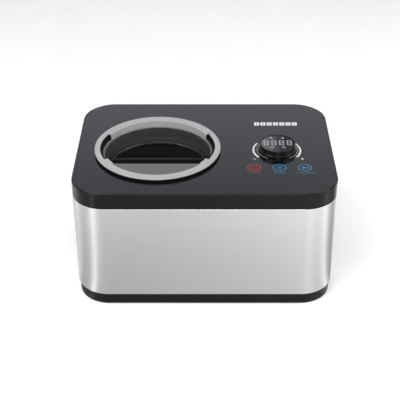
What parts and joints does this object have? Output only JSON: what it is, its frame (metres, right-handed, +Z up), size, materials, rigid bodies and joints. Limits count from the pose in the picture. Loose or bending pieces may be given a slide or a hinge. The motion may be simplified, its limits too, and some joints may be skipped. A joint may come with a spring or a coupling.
{
  "type": "ice cream maker",
  "caption": "Countertop compressor ice cream maker: steel-wrapped cabinet, lidded bowl with refill opening, paddle drive, cooling set, dial with display.",
  "frame": {"origin": "centre of the cabinet's outline on the surface that the feet rest on", "axes": "+X to the user's right as they face the controls, +Y to the back, +Z up"},
  "size_m": [0.385, 0.277, 0.2072],
  "materials": {
    "base_plastic": "black moulded plastic, fine satin grain",
    "foot_rubber": "black soft rubber",
    "zinc_steel": "zinc plated steel",
    "frame_plastic": "dark moulded plastic",
    "brushed_wrap": "stainless steel, brushed in level lines",
    "band_plastic": "black gloss plastic",
    "panel_gloss": "dark graphite gloss panel",
    "contact_brass": "plain brass",
    "drum_aluminium": "drawn aluminium",
    "brushed_collar": "stainless steel, brushed round the ring",
    "copper_tube": "drawn copper",
    "pu_foam": "rigid polyurethane foam",
    "seal_rubber": "grey silicone rubber",
    "black_paint": "black enamel",
    "circuit_board": "green laminate",
    "pale_plastic": "pale moulded plastic",
    "display_gloss": null,
    "lid_grey": "silver-grey satin plastic",
    "plate_grey": "mid-grey matt plastic",
    "bowl_coated": "aluminium with a dark non-stick coat",
    "bail_steel": "stainless steel wire",
    "paddle_plastic": "dark moulded plastic",
    "gear_nylon": "natural nylon",
    "dial_gloss": "black gloss plastic"
  },
  "bodies": {
    "cabinet": {"base_tray": "base_plastic", "rubber_feet": "foot_rubber", "foot_screws": "zinc_steel", "case_screws": "zinc_steel", "corner_posts": "frame_plastic", "steel_wrap": "brushed_wrap", "top_frame": "band_plastic", "top_panel": "panel_gloss", "right_grille": "frame_plastic", "left_grille": "frame_plastic", "power_inlet": "frame_plastic", "inlet_pins": "contact_brass", "cooling_drum": "drum_aluminium", "chamber_collar": "brushed_collar", "evaporator_coil": "copper_tube", "foam_jacket": "pu_foam", "gearbox_lower": "frame_plastic", "gearbox_cover": "frame_plastic", "gearbox_screws": "zinc_steel", "idler_pin": "zinc_steel", "shaft_bush": "contact_brass", "shaft_seal": "seal_rubber", "motor_can": "zinc_steel", "motor_stator": "copper_tube", "compressor_shell": "black_paint", "compressor_plate": "black_paint", "compressor_grommets": "foot_rubber", "compressor_bolts": "zinc_steel", "starter_box": "frame_plastic", "condenser_fins": "drum_aluminium", "condenser_tube": "copper_tube", "fan_shroud": "frame_plastic", "fan_motor": "frame_plastic", "filter_drier": "copper_tube", "refrigerant_tubes": "copper_tube", "power_board": "circuit_board", "board_blocks": "frame_plastic", "start_capacitor": "pale_plastic", "control_board": "circuit_board", "board_screws": "zinc_steel", "encoder_body": "frame_plastic", "touch_springs": "zinc_steel", "display_cup": "band_plastic", "display_module": "pale_plastic", "display_lens": "display_gloss"},
    "bowl_unit": {"bowl": "bowl_coated"},
    "bail": {"bowl_bail": "bail_steel", "bail_grip": "frame_plastic"},
    "lid": {"lid_ring": "lid_grey", "lid_base": "base_plastic", "lid_plate": "plate_grey", "lid_seal": "seal_rubber"},
    "paddle_unit": {"paddle": "paddle_plastic"},
    "drive": {"drive_shaft": "bail_steel", "output_gear": "gear_nylon"},
    "idler": {"idler_gear": "gear_nylon"},
    "rotor": {"motor_rotor": "zinc_steel"},
    "fan": {"fan_rotor": "frame_plastic"},
    "dial": {"dial_ring": "dial_gloss"},
    "encoder": {"encoder_gear": "gear_nylon"}
  },
  "joints": [
    {"name": "bowl_lift", "type": "slide", "parent": "cabinet", "child": "bowl_unit", "axis": [0, 0, 1], "range_m": [0, 0.14]},
    {"name": "lid_lift", "type": "slide", "parent": "bowl_unit", "child": "lid", "axis": [0, 0, 1], "range_m": [0, 0.16]},
    {"name": "bail_swing", "type": "hinge", "parent": "bowl_unit", "child": "bail", "pos_m": [-0.071, -0.011, 0.1656], "axis": [1, 0, 0], "range_deg": [0, 90]},
    {"name": "drive_spin", "type": "hinge", "parent": "cabinet", "child": "drive", "pos_m": [-0.071, -0.011, 0.05], "axis": [0, 0, 1], "continuous": true},
    {"name": "paddle_spin", "type": "hinge", "parent": "bowl_unit", "child": "paddle_unit", "pos_m": [-0.071, -0.011, 0.12], "axis": [0, 0, 1], "continuous": true},
    {"name": "idler_spin", "type": "hinge", "parent": "cabinet", "child": "idler", "pos_m": [-0.02662, -0.011, 0.042], "axis": [0, 0, 1], "continuous": true},
    {"name": "motor_spin", "type": "hinge", "parent": "cabinet", "child": "rotor", "pos_m": [-0.05351, 0.0274, 0.02], "axis": [0, 0, 1], "continuous": true},
    {"name": "fan_spin", "type": "hinge", "parent": "cabinet", "child": "fan", "pos_m": [0.1417, 0.005, 0.0805], "axis": [1, 0, 0], "continuous": true},
    {"name": "dial_spin", "type": "hinge", "parent": "cabinet", "child": "dial", "pos_m": [0.1095, -0.011, 0.2], "axis": [0, 0, 1], "continuous": true},
    {"name": "encoder_spin", "type": "hinge", "parent": "cabinet", "child": "encoder", "pos_m": [0.1445, -0.011, 0.186], "axis": [0, 0, 1], "continuous": true}
  ],
  "couplings": [
    {"joint": "bail_swing", "follows": "lid_lift", "rad_per_m": 9.8},
    {"joint": "paddle_spin", "follows": "drive_spin", "ratio": 1},
    {"joint": "idler_spin", "follows": "drive_spin", "ratio": -3.7333},
    {"joint": "motor_spin", "follows": "drive_spin", "ratio": 14.933},
    {"joint": "encoder_spin", "follows": "dial_spin", "ratio": -3.375}
  ]
}
